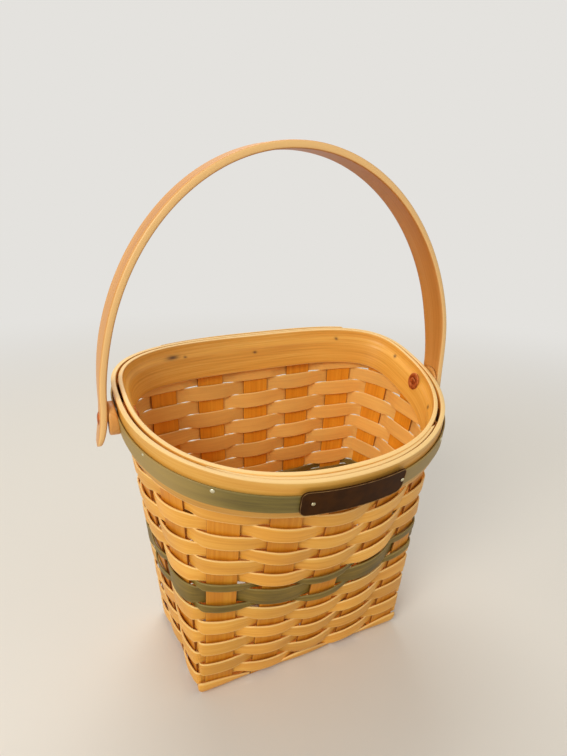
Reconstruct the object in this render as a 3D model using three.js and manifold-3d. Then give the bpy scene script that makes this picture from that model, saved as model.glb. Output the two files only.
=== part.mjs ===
// A woven splint basket with a flat back, a bowed front and a swinging bail handle.
// Millimetres, +Z up, the flat back towards +Y. Every splint and every row is a piece of its own.
import * as THREE from 'three';
import { mergeVertices } from 'three/addons/utils/BufferGeometryUtils.js';
import Module from 'manifold-3d';

const wasm = await Module();
wasm.setup();

// Rim, measured on the middle surface of the upright splints
const rimWidth = 195.8;
const rimBackDepth = 46.2;
const rimFrontDepth = 81.8;
const rimBackExponent = 3.4;
const rimFrontExponent = 2.16;
const rimBackHeight = 202;
const rimFrontHeight = 163;

// Base
const splintsAcross = 5;
const splintsDeep = 3;
const splintWidth = 18;
const splintThickness = 1.1;
const gapAcross = 12.5;
const gapDeep = 11.5;
const cornerSetback = 2.6;
const backLean = 2.4;
const bendRadius = 1.4;
const cornerShare = 0.4;

// Weaving. The rows are packed closer at the front, and ride up at the front corners.
const weaverThickness = 1.1;
const clearance = 0.3;
const weaveStart = 3;
const rowHeight = 9.25;
const narrowRowHeight = 4.15;
const wideRowHeight = 12.6;
const rowGap = 0.35;
const rowsBelowStripe = 7;
const rowsAboveStripe = 8;
const rowsRoundBack = 2;
const frontRowMargin = 7.9;
const backRowMargin = 14.2;
const cornerLift = 6;
const crownBulge = 0.8;
const crownSpread = 0.55;
const crownFade = 8;
const edgeRun = 0.85;
const tuck = 5;

// Rim bands
const bandHeight = 23.8;
const bandThickness = 2.9;
const trimHeight = 11.1;
const trimThickness = 0.9;
const trimDrop = 7.6;
const splintTopDrop = 3;

// Bail and its pivots
const bailWidth = 17;
const bailThickness = 4.6;
const bailEase = 1.3;
const bushingLength = 3.1;
const bailRise = 146.4;
const bailStraight = 10.6;
const bailTail = 15.5;
const pivotDrop = 9.9;
const hingeSetback = 2.6;
const hingeTurnDegrees = 4.9;
const rivetRadius = 2;
const rivetHeadRadius = 4.2;
const rivetHeadHeight = 1.6;
const bushingRadius = 9.5;
const burrRadius = 5.6;
const burrThickness = 1.1;
const peenRadius = 3.1;
const peenHeight = 1;

// Name plate
const plateLength = 61.5;
const plateHeight = 16.4;
const plateThickness = 0.9;
const plateCorner = 4;
const plateDrop = 4;

// Facets
const wallSteps = 8;
const plateSteps = 10;
const bailSteps = 22;
const roundSteps = 18;

// Worked out from the sizes above
const halfSplint = splintWidth / 2;
const edgeReach = halfSplint + edgeRun;
const pitchAcross = splintWidth + gapAcross;
const pitchDeep = splintWidth + gapDeep;
const bendX = ((splintsAcross - 1) * pitchAcross) / 2 + halfSplint + cornerSetback;
const bendY = ((splintsDeep - 1) * pitchDeep) / 2 + halfSplint + cornerSetback;
const rimWideY = (rimFrontDepth - rimBackDepth) / 2;
const rimDepth = rimBackDepth + rimFrontDepth;
const baseY = rimDepth / 2 - backLean - bendY;
const lowLevel = splintThickness / 2;
const highLevel = lowLevel + splintThickness + clearance;
const bendLevel = (lowLevel + highLevel) / 2;
const weaveOffset = splintThickness / 2 + clearance + weaverThickness / 2;
const bandInner = weaveOffset + weaverThickness / 2 + clearance;
const bandOuter = bandInner + bandThickness;
const trimInner = bandOuter + 1.5 * clearance;
const trimOuter = trimInner + trimThickness;
const plateInner = trimOuter + clearance;
const stationCount = 2 * (splintsAcross + splintsDeep);
const cornerRound = (splintsAcross - 1) / stationCount;
const hingeTurn = THREE.MathUtils.degToRad(hingeTurnDegrees);

// The rows from the base up, at their full spacing
const numbered = (name, count, kind) => Array.from({ length: count }, (_, i) => ({ name: `${name}_${i + 1}`, ...kind }));
const rowKinds = [
  ...numbered('lower_row', rowsBelowStripe, { height: rowHeight }),
  { name: 'stripe_lower', height: narrowRowHeight, isGreen: true },
  { name: 'stripe_wide', height: wideRowHeight, isGreen: true },
  { name: 'stripe_upper', height: narrowRowHeight, isGreen: true },
  ...numbered('upper_row', rowsAboveStripe, { height: rowHeight }),
  ...numbered('back_row', rowsRoundBack, { height: rowHeight, isOpen: true }),
];
let rowStart = weaveStart;
const rows = rowKinds.map((kind, i) => {
  const low = rowStart;
  rowStart += kind.height + rowGap;
  return { ...kind, number: i + 1, low, high: low + kind.height };
});

// Their spacing is scaled so that the rows end a margin below the rim, at the front and at the back
const topOf = (list) => Math.max(...list.map((row) => row.high));
const frontPacking = (rimFrontHeight - frontRowMargin) / topOf(rows.filter((row) => !row.isOpen));
const backPacking = (rimBackHeight - backRowMargin) / topOf(rows);

const maple = { color: 0xe2a95a, roughness: 0.6, metalness: 0 };
const darkMaple = { color: 0xd2913c, roughness: 0.6, metalness: 0 };
const green = { color: 0x6c7045, roughness: 0.65, metalness: 0 };
const copper = { color: 0xb0653a, roughness: 0.4, metalness: 1 };
const bronze = { color: 0x3b2413, roughness: 0.45, metalness: 0.8 };

const basket = new THREE.Group();

function addPiece(name, geometry, finish) {
  const mesh = new THREE.Mesh(geometry, new THREE.MeshStandardMaterial(finish));
  mesh.name = name;
  basket.add(mesh);
  return mesh;
}

// Joins equal closed outlines into one solid. Points 0..q-1 of an outline face out, the rest run back behind them.
function loft(outlines, isRing = false) {
  const size = outlines[0].length;
  const positions = outlines.flat().flatMap((point) => [point.x, point.y, point.z]);
  const index = [];
  const quad = (a, b, c, d) => index.push(a, b, c, a, c, d);
  const spans = isRing ? outlines.length : outlines.length - 1;
  for (let s = 0; s < spans; s += 1) {
    const here = s * size;
    const next = ((s + 1) % outlines.length) * size;
    for (let j = 0; j < size; j += 1) {
      const k = (j + 1) % size;
      quad(here + j, here + k, next + k, next + j);
    }
  }
  if (!isRing) {
    const last = (outlines.length - 1) * size;
    for (let j = 0; j < size / 2 - 1; j += 1) {
      quad(j, size - 1 - j, size - 2 - j, j + 1);
      quad(last + j, last + j + 1, last + size - 2 - j, last + size - 1 - j);
    }
  }
  const geometry = new THREE.BufferGeometry();
  geometry.setAttribute('position', new THREE.Float32BufferAttribute(positions, 3));
  geometry.setIndex(index);
  return faceOut(geometry);
}

// Turns a closed mesh whose volume comes out negative the right way round.
function faceOut(geometry) {
  const p = geometry.getAttribute('position');
  const index = geometry.getIndex().array;
  const corner = [new THREE.Vector3(), new THREE.Vector3(), new THREE.Vector3()];
  let volume = 0;
  for (let i = 0; i < index.length; i += 3) {
    corner.forEach((v, j) => v.fromBufferAttribute(p, index[i + j]));
    volume += corner[0].dot(corner[1].cross(corner[2]));
  }
  if (volume < 0) {
    for (let i = 0; i < index.length; i += 3) {
      [index[i + 1], index[i + 2]] = [index[i + 2], index[i + 1]];
    }
  }
  geometry.computeVertexNormals();
  return geometry;
}

function toSolid(geometry) {
  const bare = geometry.clone();
  bare.deleteAttribute('normal');
  bare.deleteAttribute('uv');
  const merged = mergeVertices(bare, 1e-4);
  const vertProperties = new Float32Array(merged.getAttribute('position').array);
  const triVerts = new Uint32Array(merged.getIndex().array);
  return new wasm.Manifold(new wasm.Mesh({ numProp: 3, vertProperties, triVerts }));
}

function toGeometry(solid) {
  const mesh = solid.getMesh();
  const geometry = new THREE.BufferGeometry();
  geometry.setAttribute('position', new THREE.BufferAttribute(new Float32Array(mesh.vertProperties), 3));
  geometry.setIndex(new THREE.BufferAttribute(new Uint32Array(mesh.triVerts), 1));
  geometry.computeVertexNormals();
  return geometry;
}

// The rim seen from above: two superellipse halves, flat at the back and bowed at the front, by arc length.
const rimTable = (() => {
  const samples = 2400;
  const table = [];
  let length = 0;
  for (let i = 0; i <= samples; i += 1) {
    const angle = Math.PI / 2 - (i / samples) * 2 * Math.PI;
    const c = Math.cos(angle);
    const s = Math.sin(angle);
    const power = 2 / (s > 0 ? rimBackExponent : rimFrontExponent);
    const reach = s > 0 ? rimBackDepth : rimFrontDepth;
    const x = (rimWidth / 2) * Math.sign(c) * Math.abs(c) ** power;
    const y = rimWideY + reach * Math.sign(s) * Math.abs(s) ** power;
    if (i > 0) length += Math.hypot(x - table[i - 1].x, y - table[i - 1].y);
    table.push({ x, y, length });
  }
  return table;
})();
const rimLength = rimTable[rimTable.length - 1].length;

// A point on the rim line, a length round from the middle of the back, clockwise from above.
function rimPoint(along) {
  const wanted = THREE.MathUtils.euclideanModulo(along, rimLength);
  let low = 0;
  let high = rimTable.length - 1;
  while (high - low > 1) {
    const middle = (low + high) >> 1;
    if (rimTable[middle].length <= wanted) low = middle;
    else high = middle;
  }
  const a = rimTable[low];
  const b = rimTable[high];
  const f = (wanted - a.length) / (b.length - a.length);
  const y = a.y + (b.y - a.y) * f;
  const rise = (y + rimDepth / 2) / rimDepth;
  return new THREE.Vector3(a.x + (b.x - a.x) * f, y, rimFrontHeight + (rimBackHeight - rimFrontHeight) * rise);
}

// Where each upright splint leaves the base, clockwise from above and starting at the left end of the back.
const stations = (() => {
  const back = [];
  const right = [];
  const front = [];
  const left = [];
  for (let i = 0; i < splintsAcross; i += 1) {
    const x = (i - (splintsAcross - 1) / 2) * pitchAcross;
    back.push({ x, y: baseY + bendY, tx: 1, ty: 0 });
    front.unshift({ x, y: baseY - bendY, tx: -1, ty: 0 });
  }
  for (let j = 0; j < splintsDeep; j += 1) {
    const y = baseY + (j - (splintsDeep - 1) / 2) * pitchDeep;
    left.push({ x: -bendX, y, tx: 0, ty: 1 });
    right.unshift({ x: bendX, y, tx: 0, ty: -1 });
  }
  return [...back, ...right, ...front, ...left];
})();
const stationPitch = rimLength / stationCount;
const firstRight = splintsAcross;
const firstFront = splintsAcross + splintsDeep;

function stationAt(k) {
  return stations[THREE.MathUtils.euclideanModulo(k, stationCount)];
}

// How far round the rim a station's splint stands, from the middle of the back.
function rimAlong(k) {
  return (k - (splintsAcross - 1) / 2) * stationPitch;
}

function lineBetween(foot, top) {
  const rise = top.clone().sub(foot);
  const length = rise.length();
  return { foot, length, up: rise.divideScalar(length) };
}

// The straight line up the wall at an offset along the station's own splint, from the bend to the rim.
function wallLine(k, offset) {
  const station = stationAt(k);
  const foot = new THREE.Vector3(station.x + station.tx * offset, station.y + station.ty * offset, bendLevel);
  return lineBetween(foot, rimPoint(rimAlong(k) + offset));
}

function isCorner(k) {
  return stationAt(k).tx !== stationAt(k + 1).tx;
}

// A line up the wall in the gap after a station, at a share of the way to the next splint.
function gapLine(k, share) {
  const foot = wallLine(k, edgeReach).foot.lerp(wallLine(k + 1, -edgeReach).foot, share);
  if (isCorner(k)) {
    const here = stationAt(k);
    const next = stationAt(k + 1);
    const corner = new THREE.Vector3(here.tx ? next.x : here.x, here.tx ? here.y : next.y, bendLevel);
    foot.lerp(corner, cornerShare);
  }
  const free = stationPitch - 2 * edgeReach;
  return lineBetween(foot, rimPoint(rimAlong(k) + edgeReach + free * share));
}

function onLine(line, level) {
  return line.foot.clone().addScaledVector(line.up, level);
}

// A wall place is a line with the lines beside it, which give the way the wall faces there.
function splintPlace(k, offset) {
  return {
    along: rimAlong(k) + offset,
    line: wallLine(k, offset),
    before: wallLine(k, offset - halfSplint / 2),
    after: wallLine(k, offset + halfSplint / 2),
  };
}

function gapPlace(k, share = 0.5) {
  return {
    along: rimAlong(k) + edgeReach + (stationPitch - 2 * edgeReach) * share,
    line: gapLine(k, share),
    before: wallLine(k, edgeReach),
    after: wallLine(k + 1, -edgeReach),
  };
}

// The place at any length round the rim from the middle of the back.
function rimPlace(along) {
  const steps = along / stationPitch + (splintsAcross - 1) / 2;
  const k = Math.round(steps);
  const offset = (steps - k) * stationPitch;
  if (Math.abs(offset) <= edgeReach) return splintPlace(k, offset);
  const free = stationPitch - 2 * edgeReach;
  return offset > 0 ? gapPlace(k, (offset - edgeReach) / free) : gapPlace(k - 1, 1 + (offset + edgeReach) / free);
}

function faceOf(place, level) {
  const along = onLine(place.after, level).sub(onLine(place.before, level));
  return place.line.up.clone().cross(along).normalize();
}

// The point at a level up the wall, set off from the middle surface along the wall's outward normal.
function wallPoint(place, level, offset) {
  return onLine(place.line, level).addScaledVector(faceOf(place, level), offset);
}

// A strip's rectangular outline at a wall place.
function stripOutline(place, low, high, offset, thickness) {
  const half = thickness / 2;
  return [
    wallPoint(place, high, offset + half),
    wallPoint(place, low, offset + half),
    wallPoint(place, low, offset - half),
    wallPoint(place, high, offset - half),
  ];
}

// Rows

// Where a row's level comes to lie at a place: packed closer at the front, lifted at the front corners.
function rowLevel(place, level) {
  const rise = (rimPoint(place.along).y + rimDepth / 2) / rimDepth;
  const scale = frontPacking + (backPacking - frontPacking) * rise;
  const round = Math.abs(2 * THREE.MathUtils.euclideanModulo(place.along / rimLength, 1) - 1);
  const share = round < cornerRound ? round / cornerRound : (1 - round) / (1 - cornerRound);
  return level * scale + cornerLift * Math.sin((share * Math.PI) / 2) ** 2;
}

// Over the middle of a splint a free strip bulges and stands taller. Next to the bands it lies flat.
function crownShare(place, row) {
  const room = place.line.length - bandHeight - rowLevel(place, row.high);
  return THREE.MathUtils.clamp(room / crownFade, 0, 1);
}

// Rows alternate: an even row runs outside the even stations and inside the odd ones.
function rowOutlines(row, k, offsets) {
  const side = (k + row.number) % 2 === 0 ? 1 : -1;
  return offsets.map((offset) => {
    const place = splintPlace(k, offset);
    const crown = offset === 0 ? crownShare(place, row) : 0;
    const low = rowLevel(place, row.low) - crown * crownSpread;
    const high = rowLevel(place, row.high) + crown * crownSpread;
    return stripOutline(place, low, high, side * (weaveOffset + crown * crownBulge), weaverThickness);
  });
}

function cornerOutlines(row, k) {
  if (!isCorner(k)) return [];
  const place = gapPlace(k);
  return [stripOutline(place, rowLevel(place, row.low), rowLevel(place, row.high), 0, weaverThickness)];
}

function rowRing(row) {
  const outlines = [];
  for (let k = 0; k < stationCount; k += 1) {
    outlines.push(...rowOutlines(row, k, [-edgeReach, 0, edgeReach]), ...cornerOutlines(row, k));
  }
  return loft(outlines, true);
}

// A row that runs round the back only and ends behind the bands, tucked over the last splint on each side.
function rowRound(row, reach) {
  const first = -reach;
  const last = splintsAcross - 1 + reach;
  const outlines = rowEnd(row, first, edgeReach).reverse();
  for (let k = first; k < last; k += 1) {
    if (k > first) outlines.push(...rowOutlines(row, k, [-edgeReach, 0, edgeReach]));
    outlines.push(...cornerOutlines(row, k));
  }
  outlines.push(...rowEnd(row, last, -edgeReach));
  return loft(outlines);
}

// An open row's last run: from a splint's edge to where the strip ends, on the line a closed row would take.
function rowEnd(row, k, edge) {
  const [side, middle] = rowOutlines(row, k, [edge, 0]);
  const share = tuck / halfSplint;
  return [side, side.map((point, i) => point.clone().lerp(middle[i], share))];
}

// Bands, which follow the rim line

function rimRing(drop, height, offset, thickness) {
  const outlines = [];
  for (let k = 0; k < stationCount; k += 1) {
    const places = [-edgeReach, 0, edgeReach].map((along) => splintPlace(k, along));
    const shares = isCorner(k) ? [0.25, 0.5, 0.75] : [0.5];
    for (const place of [...places, ...shares.map((share) => gapPlace(k, share))]) {
      const top = place.line.length - drop;
      outlines.push(stripOutline(place, top - height, top, offset, thickness));
    }
  }
  return loft(outlines, true);
}

// Splints

function splintPoints(places, pointOf) {
  const half = splintThickness / 2;
  const outer = places.map((place) => pointOf(place, half));
  const inner = places.map((place) => pointOf(place, -half));
  return [...outer, ...inner.reverse()];
}

// The wall run of a splint from its bend up to just under the rim's top.
function wallRun(k, start) {
  const places = [-halfSplint, 0, halfSplint].map((offset) => splintPlace(k, offset));
  const outlines = [];
  for (let i = 0; i <= wallSteps; i += 1) {
    outlines.push(splintPoints(places, (place, side) => {
      const level = start + ((place.line.length - splintTopDrop - start) * i) / wallSteps;
      return wallPoint(place, level, side);
    }));
  }
  return outlines;
}

// A flat outline on the base, a distance in from the station's bend.
function baseOutline(k, inward, height) {
  const station = stationAt(k);
  return splintPoints([-halfSplint, 0, halfSplint], (offset, side) => new THREE.Vector3(
    station.x + station.tx * offset + station.ty * inward,
    station.y + station.ty * offset - station.tx * inward,
    height - side,
  ));
}

// The rounded corner between a splint's base run and its wall run.
function bendOutline(k, height) {
  const places = [-halfSplint, 0, halfSplint].map((offset) => splintPlace(k, offset));
  const station = stationAt(k);
  const inward = new THREE.Vector3(station.ty, -station.tx, 0);
  return splintPoints(places, (place, side) => {
    const level = (height - bendLevel) / place.line.up.z;
    const corner = onLine(place.line, level);
    const pull = inward.clone().add(place.line.up).multiplyScalar(bendRadius / 4);
    const face = faceOf(place, level).add(new THREE.Vector3(0, 0, -1)).normalize();
    return corner.add(pull).addScaledVector(face, side);
  });
}

// The same outline with its two edges changed over, for the far wall of a splint.
function turned(outline) {
  const half = outline.length / 2;
  return [...outline.slice(0, half).reverse(), ...outline.slice(half).reverse()];
}

// One whole splint: down the near wall, over and under across the base, and up the far wall.
function splint(near, far, pitch, heights) {
  const count = heights.length;
  const across = (count - 1) * pitch + 2 * (halfSplint + cornerSetback);
  const startOf = (k, height) => (height - bendLevel) / wallLine(k, 0).up.z + bendRadius;
  const outlines = wallRun(near, startOf(near, heights[0])).reverse();
  outlines.push(bendOutline(near, heights[0]), baseOutline(near, bendRadius, heights[0]));
  for (let j = 0; j < count - 1; j += 1) {
    const crossing = cornerSetback + halfSplint + j * pitch;
    outlines.push(baseOutline(near, crossing + edgeReach, heights[j]));
    outlines.push(baseOutline(near, crossing + pitch - edgeReach, heights[j + 1]));
  }
  outlines.push(baseOutline(near, across - bendRadius, heights[count - 1]));
  outlines.push(turned(bendOutline(far, heights[count - 1])));
  outlines.push(...wallRun(far, startOf(far, heights[count - 1])).map(turned));
  return loft(outlines);
}

// The hinge line passes near the middle splints of both sides, a set drop below the rim there. It is turned a little
// from square, with its left end towards the back.
const pivotStation = firstRight + Math.floor(splintsDeep / 2);
const pivotLine = wallLine(pivotStation, 0);
const pivotZ = onLine(pivotLine, pivotLine.length).z - pivotDrop;
const pivotY = onLine(pivotLine, (pivotZ - bendLevel) / pivotLine.up.z).y + hingeSetback;

// Pieces on the hinge are drawn with the hinge along X through the origin, and turned and moved to their place.
function toHinge(geometry) {
  return geometry.rotateZ(-hingeTurn).translate(0, pivotY, pivotZ);
}

function hingeRod(radius, from, to) {
  const rod = new THREE.CylinderGeometry(radius, radius, Math.abs(to - from), roundSteps);
  rod.rotateZ(Math.PI / 2);
  rod.translate((from + to) / 2, 0, 0);
  return toSolid(toHinge(rod));
}

// Where the hinge line meets the middle surface of the wall on one side, and how far the wall is from square to it.
function hingeWall(side) {
  const away = new THREE.Vector3(side * Math.cos(hingeTurn), -side * Math.sin(hingeTurn), 0);
  const pointAt = (along) => {
    const { line } = rimPlace(along);
    return onLine(line, (pivotZ - bendLevel) / line.up.z).sub(new THREE.Vector3(0, pivotY, pivotZ));
  };
  const station = side > 0 ? pivotStation : -pivotStation + splintsAcross - 1;
  let low = rimAlong(station) - stationPitch;
  let high = rimAlong(station) + stationPitch;
  for (let i = 0; i < 40; i += 1) {
    const middle = (low + high) / 2;
    if (pointAt(middle).cross(away).z < 0) low = middle;
    else high = middle;
  }
  const place = rimPlace(low);
  const level = (pivotZ - bendLevel) / place.line.up.z;
  return { place, level, reach: pointAt(low).dot(away), lean: Math.acos(faceOf(place, level).dot(away)) };
}
const hingeWalls = { left: hingeWall(-1), right: hingeWall(1) };

// Bores a piece for the rivets, right through on both sides.
function drilled(geometry) {
  return toGeometry(toSolid(geometry).subtract(hingeRod(rivetRadius + clearance, -rimWidth, rimWidth)));
}

// The bail: straight legs with rounded tails, and half an ellipse over the top
const trimReach = ({ reach, lean }) => reach + trimOuter / Math.cos(lean);
const bailInner = Math.max(...Object.values(hingeWalls).map(trimReach)) + bushingLength;
const bailOuter = bailInner + bailThickness;

function bailOutline(middle, away, halfWidth) {
  const ease = Math.min(bailEase, halfWidth / 2);
  const corners = [
    [-halfWidth, bailThickness / 2 - ease],
    [ease - halfWidth, bailThickness / 2],
    [halfWidth - ease, bailThickness / 2],
    [halfWidth, bailThickness / 2 - ease],
  ];
  const inner = corners.map(([across, out]) => [across, -out]).reverse();
  return [...corners, ...inner].map(([across, out]) => (
    middle.clone().addScaledVector(away, out).add(new THREE.Vector3(0, across, 0))
  ));
}

function bail() {
  const radius = bailWidth / 2;
  const legX = (bailInner + bailOuter) / 2;
  const rise = bailRise - bailStraight - bailThickness / 2;
  const tail = [0.05, 0.16, 0.38, 0.66, 1].map((share) => ({
    z: radius * share - bailTail,
    halfWidth: radius * Math.sqrt(1 - (1 - share) ** 2),
  }));
  const leg = (side) => tail.map(({ z, halfWidth }) => (
    bailOutline(new THREE.Vector3(side * legX, 0, z), new THREE.Vector3(side, 0, 0), halfWidth)
  ));
  const arch = [];
  for (let i = 0; i <= bailSteps; i += 1) {
    const angle = (i / bailSteps) * Math.PI;
    const middle = new THREE.Vector3(legX * Math.cos(angle), 0, bailStraight + rise * Math.sin(angle));
    const away = new THREE.Vector3(rise * Math.cos(angle), 0, legX * Math.sin(angle)).normalize();
    arch.push(bailOutline(middle, away, radius));
  }
  return toHinge(loft([...leg(1), ...arch, ...leg(-1).reverse()]));
}

// Assembly

function isUnder(i, j) {
  return (i + j) % 2 === 0;
}

for (let i = 0; i < splintsAcross; i += 1) {
  const heights = [];
  for (let j = 0; j < splintsDeep; j += 1) heights.push(isUnder(i, j) ? highLevel : lowLevel);
  const near = firstFront + splintsAcross - 1 - i;
  addPiece(`front_back_splint_${i + 1}`, splint(near, i, pitchDeep, heights), darkMaple);
}

for (let j = 0; j < splintsDeep; j += 1) {
  const heights = [];
  for (let i = 0; i < splintsAcross; i += 1) heights.push(isUnder(i, j) ? lowLevel : highLevel);
  const far = firstRight + splintsDeep - 1 - j;
  const geometry = splint(j - splintsDeep, far, pitchAcross, heights);
  const isBored = far === pivotStation;
  addPiece(`side_splint_${j + 1}`, isBored ? drilled(geometry) : geometry, darkMaple);
}

const fitsAt = (row, k) => {
  const place = splintPlace(k, 0);
  return rowLevel(place, row.high) < place.line.length - splintTopDrop;
};
const meetsRivet = (row) => Object.values(hingeWalls).some(({ place, level }) => {
  const room = rivetRadius + 3 * clearance;
  return rowLevel(place, row.low) < level + room && rowLevel(place, row.high) > level - room;
});

// Most rows go all the way round. The back rows fill the higher back and end between the bands.
for (const row of rows) {
  let reach = 0;
  while (fitsAt(row, splintsAcross + reach) && reach < splintsDeep + splintsAcross / 2) reach += 1;
  const geometry = row.isOpen ? rowRound(row, reach) : rowRing(row);
  addPiece(row.name, meetsRivet(row) ? drilled(geometry) : geometry, row.isGreen ? green : maple);
}

addPiece('outer_band', drilled(rimRing(0, bandHeight, (bandInner + bandOuter) / 2, bandThickness)), maple);
addPiece('inner_band', drilled(rimRing(0, bandHeight, -(bandInner + bandOuter) / 2, bandThickness)), maple);
addPiece('trim_strip', drilled(rimRing(trimDrop, trimHeight, (trimInner + trimOuter) / 2, trimThickness)), green);

// The name plate, bent to the bow of the front, with rounded corners
const plateOutlines = [];
const plateEnds = [0, 0.16, 0.46, 1].map((share) => share * plateCorner);
const plateStops = [
  ...plateEnds,
  ...Array.from({ length: plateSteps - 1 }, (_, i) => (
    plateCorner + ((plateLength - 2 * plateCorner) * (i + 1)) / plateSteps
  )),
  ...plateEnds.map((stop) => plateLength - stop).reverse(),
];
for (const stop of plateStops) {
  const fromEnd = Math.min(stop, plateLength - stop, plateCorner);
  const inset = plateCorner - Math.sqrt(plateCorner ** 2 - (plateCorner - fromEnd) ** 2);
  const place = rimPlace(rimLength / 2 - plateLength / 2 + stop);
  const top = place.line.length - plateDrop - inset;
  const bottom = place.line.length - plateDrop - plateHeight + inset;
  plateOutlines.push(stripOutline(place, bottom, top, plateInner + plateThickness / 2, plateThickness));
}
addPiece('name_plate', loft(plateOutlines), bronze);

// Pivots: a bushing between band and bail, a rivet through all, and a burr on the inside
const bandZone = (from, to) => {
  const spare = bushingRadius * 2;
  return toSolid(rimRing(-spare, bandHeight + 2 * spare, (from + to) / 2, to - from));
};
const outsideZone = bandZone(0, trimOuter + clearance);
const insideZone = bandZone(-bandOuter - clearance, 0);

addPiece('bail', drilled(bail()), maple);
for (const [name, side] of [['left', -1], ['right', 1]]) {
  const { reach, lean } = hingeWalls[name];
  const burrX = reach - (bandOuter + clearance) / Math.cos(lean) - burrRadius * Math.tan(lean) - burrThickness;
  const bore = hingeRod(rivetRadius + clearance, 0, side * rimWidth);
  const block = hingeRod(bushingRadius, side * (reach + bandInner), side * (bailInner - clearance));
  addPiece(`bushing_${name}`, toGeometry(block.subtract(bore).subtract(outsideZone)), maple);
  const washer = hingeRod(burrRadius, side * burrX, side * (reach - bandInner));
  addPiece(`burr_${name}`, toGeometry(washer.subtract(bore).subtract(insideZone)), copper);
  const headX = bailOuter + clearance;
  const shank = headX - burrX + clearance;
  const profile = [
    [0, -peenHeight], [peenRadius * 0.6, -peenHeight], [peenRadius, -peenHeight / 2], [peenRadius, 0],
    [rivetRadius, 0], [rivetRadius, shank], [rivetHeadRadius, shank],
    [rivetHeadRadius, shank + rivetHeadHeight * 0.35], [rivetHeadRadius * 0.75, shank + rivetHeadHeight * 0.8],
    [0, shank + rivetHeadHeight],
  ].map(([radius, along]) => new THREE.Vector2(radius, along));
  const rivet = new THREE.LatheGeometry(profile, roundSteps);
  rivet.rotateZ(-side * Math.PI / 2);
  rivet.translate(side * (burrX - clearance), 0, 0);
  addPiece(`rivet_${name}`, faceOut(toHinge(rivet)), copper);
}

// The origin is on the surface the basket stands on, under the middle of its box
const box = new THREE.Box3().setFromObject(basket);
const middle = box.getCenter(new THREE.Vector3());
basket.position.set(-middle.x, -middle.y, -box.min.z);

export default basket;
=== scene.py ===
# Looks for the woven splint basket: every splint, row, band and rivet as its own finished piece.
# Shapes are worked out in millimetres on the basket's wall and written to the meshes in metres.
import math

import bpy
import numpy as np
from mathutils import Matrix, Vector


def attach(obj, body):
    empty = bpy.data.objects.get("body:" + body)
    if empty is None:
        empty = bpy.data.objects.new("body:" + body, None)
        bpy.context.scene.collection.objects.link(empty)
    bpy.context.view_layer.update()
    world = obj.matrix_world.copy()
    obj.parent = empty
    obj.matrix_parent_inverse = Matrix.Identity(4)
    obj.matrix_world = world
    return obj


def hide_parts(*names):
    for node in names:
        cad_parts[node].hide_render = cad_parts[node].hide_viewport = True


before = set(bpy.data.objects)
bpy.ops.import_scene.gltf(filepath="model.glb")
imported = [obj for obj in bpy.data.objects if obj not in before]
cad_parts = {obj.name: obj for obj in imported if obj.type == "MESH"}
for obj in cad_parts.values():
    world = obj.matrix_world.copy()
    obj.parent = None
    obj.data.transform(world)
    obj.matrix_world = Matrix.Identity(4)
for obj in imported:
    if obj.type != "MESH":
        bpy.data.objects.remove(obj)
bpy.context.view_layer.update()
print("packed frame loaded:", len(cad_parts), "nodes")

mm = 0.001

# The wall that everything follows, on the middle surface of the uprights
wall = {
    "rimWidth": 195.8,
    "rimBackDepth": 46.2,
    "rimFrontDepth": 81.8,
    "backExponent": 3.4,
    "frontExponent": 2.16,
    "backHeight": 202.0,
    "frontHeight": 163.0,
    "uprightsAcross": 5,
    "uprightsDeep": 3,
    "uprightWidth": 18.0,
    "gapAcross": 12.5,
    "gapDeep": 11.5,
    "cornerSetback": 2.6,
    "backLean": 2.4,
    "edgeRun": 0.85,
    "cornerShare": 0.4,
    "bendHeight": 1.25,
    "samples": 4096,
    "rounding": 1.6,  # how far the base's corners are eased, as a spread along the wall
    "flare": 1.5,  # how far uprights and rows turn outwards between the rim bands
    "flareDepth": 24.0,
}

countAcross, countDeep = wall["uprightsAcross"], wall["uprightsDeep"]
halfUpright = wall["uprightWidth"] / 2
edgeReach = halfUpright + wall["edgeRun"]
pitchAcross = wall["uprightWidth"] + wall["gapAcross"]
pitchDeep = wall["uprightWidth"] + wall["gapDeep"]
bendX = (countAcross - 1) * pitchAcross / 2 + halfUpright + wall["cornerSetback"]
bendY = (countDeep - 1) * pitchDeep / 2 + halfUpright + wall["cornerSetback"]
rimDepth = wall["rimBackDepth"] + wall["rimFrontDepth"]
rimWideY = (wall["rimFrontDepth"] - wall["rimBackDepth"]) / 2
baseY = rimDepth / 2 - wall["backLean"] - bendY
uprightCount = 2 * (countAcross + countDeep)


def runningLength(steps):
    return np.concatenate([[0.0], np.cumsum(steps)])


def traceRim():
    # Two superellipse halves, x = a cos^(2/n), y = b sin^(2/n), clockwise from above, with their arc length.
    angle = np.linspace(math.pi / 2, -1.5 * math.pi, wall["samples"] + 1)
    c, s = np.cos(angle), np.sin(angle)
    power = 2 / np.where(s > 0, wall["backExponent"], wall["frontExponent"])
    reach = np.where(s > 0, wall["rimBackDepth"], wall["rimFrontDepth"])
    x = wall["rimWidth"] / 2 * np.sign(c) * np.abs(c) ** power
    y = rimWideY + reach * np.sign(s) * np.abs(s) ** power
    length = runningLength(np.hypot(np.diff(x), np.diff(y)))
    rise = (y + rimDepth / 2) / rimDepth
    z = wall["frontHeight"] + (wall["backHeight"] - wall["frontHeight"]) * rise
    return length, np.stack([x, y, z], axis=1)


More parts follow.
